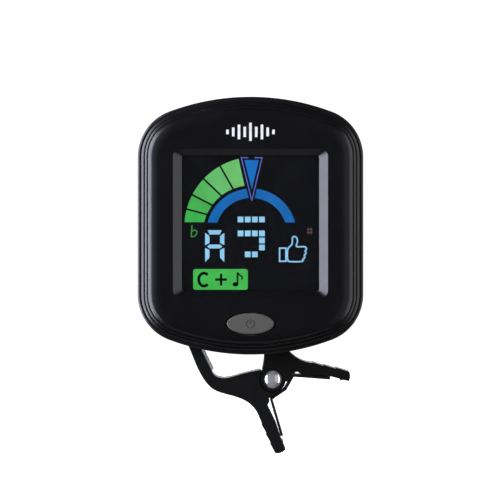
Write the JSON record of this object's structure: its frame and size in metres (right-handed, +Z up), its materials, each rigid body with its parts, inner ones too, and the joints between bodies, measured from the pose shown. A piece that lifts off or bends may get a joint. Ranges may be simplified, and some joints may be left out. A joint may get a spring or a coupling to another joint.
{
  "type": "clip-on instrument tuner",
  "caption": "Clip-on tuner: a rounded display head with a colour screen and power button, on a tilting, swivelling turret and a sprung clamp.",
  "frame": {"origin": "the point midway along the jaws' width where the two grip pads meet", "axes": "+X to the right as the display is read, +Y back from the display towards the clamp, +Z up the display; the jaws meet at the origin"},
  "size_m": [0.0483, 0.0225, 0.0767],
  "materials": {
    "case_plastic": "satin moulded",
    "bezel_plastic": "satin moulded",
    "clamp_plastic": "fine moulded",
    "button_plastic": "matt",
    "window_clear": "polished clear",
    "display_glass": "polished",
    "polariser_film": "smooth film",
    "diffuser": "frosted",
    "reflector": "white film",
    "led_body": "glossy",
    "white_plastic": "moulded",
    "contact_rubber": "layered",
    "board": "solder resist",
    "chip_black": "moulded",
    "metal_can": "satin",
    "ceramic_tan": "fired",
    "steel": "bright",
    "spring_steel": "rolled",
    "black_steel": "blackened",
    "chromed": "polished",
    "brass": "rolled",
    "pickup_ceramic": "silvered",
    "lead_red": "insulated",
    "pad_rubber": "soft",
    "print_white": "printed",
    "plunger": "moulded"
  },
  "bodies": {
    "clamp_base": {"clamp_arm_fixed": "clamp_plastic", "grip_pad_fixed": "pad_rubber", "pivot_rivet": "chromed", "leaf_spring": "spring_steel"},
    "clamp_jaw": {"clamp_arm_moving": "clamp_plastic", "grip_pad_moving": "pad_rubber"},
    "turret": {"swivel_turret": "clamp_plastic", "swivel_washer": "steel", "swivel_screw": "steel", "tilt_pin": "steel"},
    "head": {"front_bezel": "bezel_plastic", "rear_cover": "case_plastic", "face_mark": "print_white", "case_screws": "black_steel", "board_screws": "steel", "window_lens": "window_clear", "front_polariser": "polariser_film", "lcd_glass": "display_glass", "rear_polariser": "polariser_film", "backlight_guide": "diffuser", "backlight_reflector": "reflector", "zebra_strip": "contact_rubber", "backlight_leds": "led_body", "display_holder": "white_plastic", "circuit_board": "board", "controller_chip": "chip_black", "quartz_crystal": "metal_can", "board_capacitors": "ceramic_tan", "tact_switch": "chip_black", "pickup_disc": "brass", "pickup_ceramic": "pickup_ceramic", "pickup_leads": "lead_red", "coin_cell": "steel", "cell_contact_negative": "spring_steel", "cell_contact_positive": "spring_steel"},
    "button": {"power_button": "button_plastic", "switch_plunger": "plunger"},
    "door": {"battery_door": "case_plastic"}
  },
  "joints": [
    {"name": "jaw_open", "type": "hinge", "parent": "clamp_base", "child": "clamp_jaw", "pos_m": [0.01998, 0, -0.01647], "axis": [0, -1, 0], "range_deg": [0, 50], "stiffness_Nm_per_rad": 0.15, "springref_deg": -57.3, "deforming": ["leaf_spring"]},
    {"name": "head_tilt", "type": "hinge", "parent": "clamp_base", "child": "turret", "pos_m": [0.0152, 0, 0.0057], "axis": [-1, 0, 0], "range_deg": [0, 90]},
    {"name": "head_swivel", "type": "hinge", "parent": "turret", "child": "head", "pos_m": [0.0152, -0.0055, 0.0057], "axis": [0, 1, 0], "continuous": true},
    {"name": "button_press", "type": "slide", "parent": "head", "child": "button", "axis": [0, 1, 0], "range_m": [0, 0.0003], "stiffness_N_per_m": 1500, "springref_m": -0.0005},
    {"name": "battery_door_slide", "type": "slide", "parent": "head", "child": "door", "axis": [0, 0, 1], "range_m": [0, 0.024]}
  ]
}
